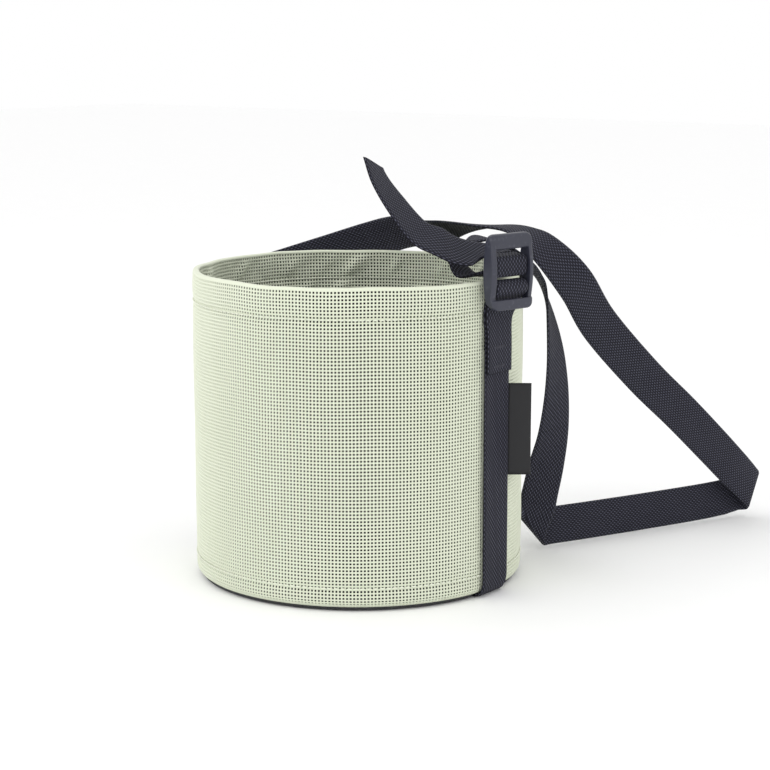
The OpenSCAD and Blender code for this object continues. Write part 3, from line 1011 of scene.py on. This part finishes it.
open_mesh, bench, given = new_tree("open_mesh", [
    ("Hole Share", "NodeSocketFloat", 0.42), ("Sink", "NodeSocketFloat", 0.0001),
    ("Depth", "NodeSocketFloat", 0.0006), ("Material", "NodeSocketMaterial", None)])
marked = bench.node("GeometryNodeInputNamedAttribute", {"data_type": "BOOLEAN"}, {"Name": "is_open"})
inset = bench.node("GeometryNodeExtrudeMesh", {"mode": "FACES"}, {
    "Mesh": given.out("Geometry"), "Selection": marked, "Offset Scale": 0.0, "Individual": True})
shrunk = bench.node("GeometryNodeScaleElements", {"domain": "FACE"}, {
    "Geometry": inset, "Selection": inset.out("Top"), "Scale": given.out("Hole Share")})
facing = bench.node("GeometryNodeInputNormal")
down = bench.node("ShaderNodeVectorMath", {"operation": "SCALE"}, {
    0: facing, "Scale": given.out("Sink") * -1})
sunk = bench.node("GeometryNodeSetPosition", None, {
    "Geometry": shrunk, "Selection": inset.out("Top"), "Offset": down})
pushed = bench.node("GeometryNodeExtrudeMesh", {"mode": "FACES"}, {
    "Mesh": sunk, "Selection": inset.out("Top"), "Offset Scale": given.out("Depth") * -1,
    "Individual": True})
holed = bench.node("GeometryNodeDeleteGeometry", {"domain": "FACE"}, {
    "Geometry": pushed, "Selection": pushed.out("Top")})
close_tree(bench, holed, given.out("Material"))
for name, (piece, node) in cloth.items():
    run_tree(piece, open_mesh, {"Hole Share": HOLE_SHARE, "Sink": HOLE_SINK * MM,
                                "Depth": (HOLE_DEPTH - HOLE_SINK) * MM, "Material": mesh_finish})
    print(name, len(piece.data.polygons), "faces")

# %% [markdown]
# ## Lining and base
#
# Felt lines the wall and the floor, which is why the holes look dark. Under it a coated base cloth
# turns up inside the wall and humps over the webbing that crosses beneath the bag.
# Each is a turned shell: a closed outline goes round the axis, then its points are moved a little.

# %% Turned shells
def turned(name, outline, columns, material, shift=None):
    """A closed shell: an outline of (radius, height) turned round the axis. Ends on the axis close."""
    points = []
    rings = []
    for radius, z in outline:
        if radius < 1e-6:
            rings.append([len(points)] * columns)
            points.append(Vector((0, 0, z)))
            continue
        rings.append(list(range(len(points), len(points) + columns)))
        for i in range(columns):
            turn = 2 * math.pi * i / columns
            points.append(Vector((radius * math.cos(turn), radius * math.sin(turn), z)))
    if shift:
        points = [shift(p) for p in points]
    loops = rings if outline[0][0] < 1e-6 else rings + [rings[0]]
    faces = []
    for low, high in zip(loops[:-1], loops[1:]):
        for i in range(columns):
            k = (i + 1) % columns
            corners = [low[i], low[k], high[k], high[i]]
            faces.append(tuple(dict.fromkeys(corners)))
    piece = mesh_object(name, [p * MM for p in points], faces, material)
    face_outwards(piece)
    return piece


def arc_rows(radius, first, last, count=5):
    """Points on an arc about the bottom corner's centre."""
    return [(CORNER_IN + radius * math.cos(a), CORNER_UP + radius * math.sin(a))
            for a in np.radians(np.linspace(first, last, count))]


FELT_OUT = 3.0
FELT_IN = 2.0
felt_outline = arc_rows(FELT_OUT, -65, 0)
felt_outline += [(CORNER_IN + FELT_OUT, z) for z in np.linspace(12, 148, 24)]
felt_outline += [(CORNER_IN + 2.5, 148.6)]
felt_outline += [(CORNER_IN + FELT_IN, z) for z in np.linspace(148, 12, 48)]
felt_outline += arc_rows(FELT_IN, 0, -65)


def felt_shift(point):
    """Puckers the inner face of the felt between the floor and the rim's leaf."""
    radius = math.hypot(point.x, point.y)
    if radius > CORNER_IN + FELT_IN + 0.1 or not 16 < point.z < 119:
        return point
    free = fade(point.z, 16, 30) * fade(119 - point.z, 0, 12)
    lump = noise.noise(Vector((point.x / 26, point.y / 26, point.z / 60)))
    lump += 0.35 * noise.noise(Vector((point.x / 7, point.y / 7, point.z / 16)))
    inward = max(lump + 0.25, 0) * 0.9 * free
    scale = (radius - inward) / radius
    return Vector((point.x * scale, point.y * scale, point.z))


lining = turned("felt_lining", felt_outline, 152, felt_finish, felt_shift)

floor_outline = [(0, 2.75)] + [(r, 2.75) for r in np.linspace(6, 75, 14)]
floor_outline += [(75.5, 3.15), (75, 3.6)] + [(r, 3.6) for r in np.linspace(72, 4, 16)] + [(0, 3.6)]


def floor_shift(point):
    """Lets the felt floor lie a little unevenly."""
    if point.z < 3.5:
        return point
    lump = noise.noise(Vector((point.x / 30, point.y / 30, 2.0)))
    return Vector((point.x, point.y, point.z + 0.5 * max(lump, 0) * fade(75 - point.length, 0, 12)))


lining_floor = turned("felt_floor", floor_outline, 96, felt_finish, floor_shift)

base_outline = [(0, 0.0)] + [(r, 0.0) for r in np.linspace(4, 76, 34)]
base_outline += [(77.0, 0.35), (77.2, 0.8)]
base_outline += arc_rows(1.9, -60, 0) + [(77.9, 12), (77.6, 14), (77.1, 14), (77.0, 12)]
base_outline += arc_rows(1.0, 0, -60)
base_outline += [(r, 1.0) for r in np.linspace(75.6, 4, 33)] + [(0, 1.0)]


def base_shift(point):
    """Humps the flat part over the webbing that crosses beneath."""
    if point.z > 1.05:
        return point
    hump = 1.55 * (1 - fade(abs(point.y), 10.2, 12.4))
    return Vector((point.x, point.y, point.z + hump))


base_cloth = turned("base_cloth_panel", base_outline, 192, base_finish, base_shift)
print("lining:", len(lining.data.polygons), "base:", len(base_cloth.data.polygons), "faces")

# %% [markdown]
# ## The woven label
#
# A label is a strip of satin ribbon folded in half and caught in the side seam, so it shows two
# leaves and a soft fold. Its section is one thin closed outline, extruded up with a slight bow.

# %% Label
LABEL_OUT = 11.5
LABEL_LOW = 56.0
LABEL_TALL = 44.0
LABEL_ANGLE = math.radians(38)
edge = math.asin((10 + 0.8) / BAG_RADIUS)
LABEL_HINGE = (BAG_RADIUS * math.cos(edge) + 0.9, BAG_RADIUS * math.sin(edge))


def label_section():
    """Outline of the folded ribbon in its own plane."""
    thick = 0.32
    outer = [(0, -0.42)] + [(x, -0.42) for x in np.linspace(1.5, 10.6, 7)]
    outer += [(10.95 + 0.5 * math.cos(a), 0.42 * math.sin(a)) for a in np.radians((-60, -30, 0, 30, 60))]
    outer += [(x, 0.42) for x in np.linspace(10.6, 1.5, 7)] + [(0, 0.42)]
    inner = [(0, 0.42 - thick)] + [(x, 0.42 - thick) for x in np.linspace(1.5, 10.6, 7)]
    inner += [(10.9, 0.0)]
    inner += [(x, thick - 0.42) for x in np.linspace(10.6, 1.5, 7)] + [(0, thick - 0.42)]
    return outer + inner


section = label_section()
levels = np.linspace(LABEL_LOW, LABEL_LOW + LABEL_TALL, 23)
points = []
for z in levels:
    share = (z - LABEL_LOW) / LABEL_TALL
    for x, y in section:
        sway = 0.35 * math.sin(share * math.pi * 1.3) * (x / LABEL_OUT) ** 2
        px = x * math.cos(LABEL_ANGLE) - (y + sway) * math.sin(LABEL_ANGLE)
        py = x * math.sin(LABEL_ANGLE) + (y + sway) * math.cos(LABEL_ANGLE)
        points.append(Vector((LABEL_HINGE[0] + px, LABEL_HINGE[1] + py, z)) * MM)
count = len(section)
faces = []
uvs = []
strides = [math.dist(a, b) for a, b in zip(section, section[1:] + section[:1])]
runs = np.concatenate([[0], np.cumsum(strides)])
for i in range(len(levels) - 1):
    for j in range(count):
        faces.append(quad(i, j, count))
        left, right = runs[j] * MM, runs[j + 1] * MM
        low, high = levels[i] * MM, levels[i + 1] * MM
        uvs += [(left, low), (right, low), (right, high), (left, high)]
for ring, around in ((0, range(count)[::-1]), (len(levels) - 1, range(count))):
    faces.append([ring * count + j for j in around])
    uvs += [(section[j][0] * MM, section[j][1] * MM) for j in around]
woven_label = mesh_object("woven_label", points, faces, label_finish, uvs)
face_outwards(woven_label)
print("label:", len(woven_label.data.polygons), "faces")

# %% [markdown]
# ## Stitches
#
# Every seam is a row of short thread loops. One Geometry Nodes tree sews them all: it walks a line
# at the stitch pitch, sets a small grain of thread on each point and turns it with the line.
# A bartack is the same tree with a fine pitch and each stitch turned across the row.

# %% Stitching tree
stitch_row, bench, given = new_tree("stitch_row", [
    ("Pitch", "NodeSocketFloat", 0.003), ("Stitch Length", "NodeSocketFloat", 0.0026),
    ("Thread Radius", "NodeSocketFloat", 0.0003), ("Turn", "NodeSocketFloat", 0.0),
    ("Material", "NodeSocketMaterial", None)])
walked = bench.node("GeometryNodeMeshToCurve", None, {"Mesh": given.out("Geometry")})
spots = bench.node("GeometryNodeCurveToPoints", {"mode": "LENGTH"}, {
    "Curve": walked, "Length": given.out("Pitch")})
grain_of_thread = bench.node("GeometryNodeMeshUVSphere", None, {
    "Segments": 8, "Rings": 6, "Radius": 1.0})
leaning = bench.node("ShaderNodeCombineXYZ", None, {"X": given.out("Turn")})
lean = bench.node("FunctionNodeEulerToRotation", None, {"Euler": leaning})
aimed = bench.node("FunctionNodeRotateRotation", {"rotation_space": "LOCAL"}, {
    "Rotation": spots.out("Rotation"), "Rotate By": lean})
vary = bench.node("FunctionNodeRandomValue", {"data_type": "FLOAT"}, {
    "Min_001": 0.88, "Max_001": 1.06, "Seed": 7}).out("Value_001")
sized = bench.node("ShaderNodeCombineXYZ", None, {
    "X": given.out("Thread Radius"), "Y": given.out("Thread Radius"),
    "Z": given.out("Stitch Length") * 0.5 * vary})
sewn = bench.node("GeometryNodeInstanceOnPoints", None, {
    "Points": spots, "Instance": grain_of_thread, "Rotation": aimed, "Scale": sized})
close_tree(bench, sewn, given.out("Material"))


def sew(name, lines, thread, pitch=3.0, length=2.7, radius=0.3, turn=0.0):
    """Sews stitches of a thread along lines of points in millimetres."""
    points = []
    edges = []
    for line in lines:
        edges += [(len(points) + i, len(points) + i + 1) for i in range(len(line) - 1)]
        points += [Vector(p) * MM for p in line]
    data = bpy.data.meshes.new(name)
    data.from_pydata(points, edges, [])
    piece = bpy.data.objects.new(name, data)
    scene.collection.objects.link(piece)
    run_tree(piece, stitch_row, {
        "Pitch": pitch * MM, "Stitch Length": length * MM, "Thread Radius": radius * MM,
        "Turn": turn, "Material": thread})
    print(name, len(piece.data.polygons), "faces")
    return piece


# %% Seams of the cloth
def seam_ring(height, lift, inside=False):
    """Two half rings of seam line on the wall or on the inside leaf, clear of the webbing."""
    lines = []
    for half in (0, math.pi):
        gap = math.asin(11 / BAG_RADIUS)
        turns = np.linspace(half + gap, half + math.pi - gap, 150)
        line = []
        for turn in turns:
            if inside:
                radius = LEAF_FACE - leaf_swell(turn, height) - lift
            else:
                radius = BAG_RADIUS + wall_swell(turn, height) + lift
            line.append((radius * math.cos(turn), radius * math.sin(turn), height))
        lines.append(line)
    return lines


THREAD_LIFT = 0.38
INSIDE_LIFT = 0.2
rim_lines = seam_ring(RIM_ROW, THREAD_LIFT) + seam_ring(RIM_ROW, INSIDE_LIFT, inside=True)
rim_seam = sew("rim_seam_stitches", rim_lines, pale_thread, radius=0.42)
base_seam = sew("base_seam_stitches", seam_ring(BASE_ROW, THREAD_LIFT), pale_thread, radius=0.4)

# %% Seams of the webbing
BAND_OUT = 81.45


def band_lines(side):
    """Two rows of thread up a band, one beside each edge."""
    lines = []
    for y in (-8.0, 8.0):
        x = side * (BAND_OUT - y * y / (2 * BAG_RADIUS) + 0.12)
        lines.append([(x, y, z) for z in (10, 40, 70, 103)])
    return lines


def bartack(x, z):
    """One dense row of stitches across the webbing."""
    return [(x - abs(x) / x * y * y / (2 * BAG_RADIUS), y, z) for y in np.linspace(-8.6, 8.6, 9)]


near_seam = sew("near_band_stitches", band_lines(1), navy_thread)
far_seam = sew("far_band_stitches", band_lines(-1), navy_thread)
near_tacks = sew("near_bartack_stitches", [bartack(82.95, 110), bartack(82.95, 119)], navy_thread,
                 pitch=0.5, length=1.9, radius=0.24, turn=math.radians(82))
far_tacks = sew("far_bartack_stitches", [bartack(-81.5, 109), bartack(-81.5, 114)], navy_thread,
                pitch=0.5, length=1.9, radius=0.24, turn=math.radians(82))
seam_at = math.asin((10 + 0.45) / BAG_RADIUS)
label_line = [(80.25 * math.cos(seam_at), 80.25 * math.sin(seam_at), z) for z in (57, 80, 99)]
label_seam = sew("label_stitches", [label_line], navy_thread, pitch=2.2, length=2.0, radius=0.22)

# %% [markdown]
# ## Floor
#
# A wide plane just under the bag, with a faint paper grain. It is stage, not part of the object.

# %% Floor sheet
paper_finish, bench, shader = new_finish("paper_floor")
pulp = bench.grain(30, 3.0)
feed(bench, shader, {
    "Base Color": bench.blend(pulp, (0.97, 0.97, 0.97), (0.99, 0.99, 0.99)),
    "Roughness": 0.9,
})
corners = [(-4, -4, -FLOOR_DROP), (4, -4, -FLOOR_DROP), (4, 4, -FLOOR_DROP), (-4, 4, -FLOOR_DROP)]
floor = mesh_object("paper_sheet", corners, [(0, 1, 2, 3)], paper_finish, smooth=False)
floor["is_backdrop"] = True

# %% [markdown]
# ## Laying the pieces on their bodies
#
# A piece that stays with one body rides on it. The carry strap's two pieces stay where they were
# built, and the CAD nodes they stand for are hidden.

# %% Riding
def lay(piece, body, nodes=()):
    """Rides a piece on a body, in place of its CAD nodes."""
    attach(piece, body)
    dress(nodes)


def dress(nodes):
    """Hides the CAD nodes that a piece stands for."""
    if nodes:
        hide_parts(*nodes)


for name, (piece, node) in cloth.items():
    lay(piece, "bag", [node])
lay(lining, "bag", ["lining_wall"])
lay(lining_floor, "bag", ["lining_base"])
lay(base_cloth, "bag", ["base_panel"])
lay(cradle, "bag", ["cradle_band", "buckle_loop"])
lay(rim_seam, "bag", ["rim_stitching"])
lay(base_seam, "bag", ["base_stitching"])
lay(near_seam, "bag", ["near_band_stitching"])
lay(far_seam, "bag", ["far_band_stitching"])
lay(near_tacks, "bag", ["near_bartacks"])
lay(far_tacks, "bag", ["far_bartacks"])
lay(label_seam, "bag", ["label_stitching"])
lay(buckle, "buckle", ["buckle"])
lay(grip, "buckle", ["threaded_webbing"])
lay(strap_tail, "tail", ["strap_tail"])
lay(woven_label, "label", ["label"])
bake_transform(strap_lead)
dress(["strap_loop"])
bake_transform(strap_main)
dress(["carry_strap"])

# %% Size and finish
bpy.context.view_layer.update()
total = sum(len(p.vertices) - 2 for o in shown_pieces() for p in o.data.polygons)
print("triangles:", total)
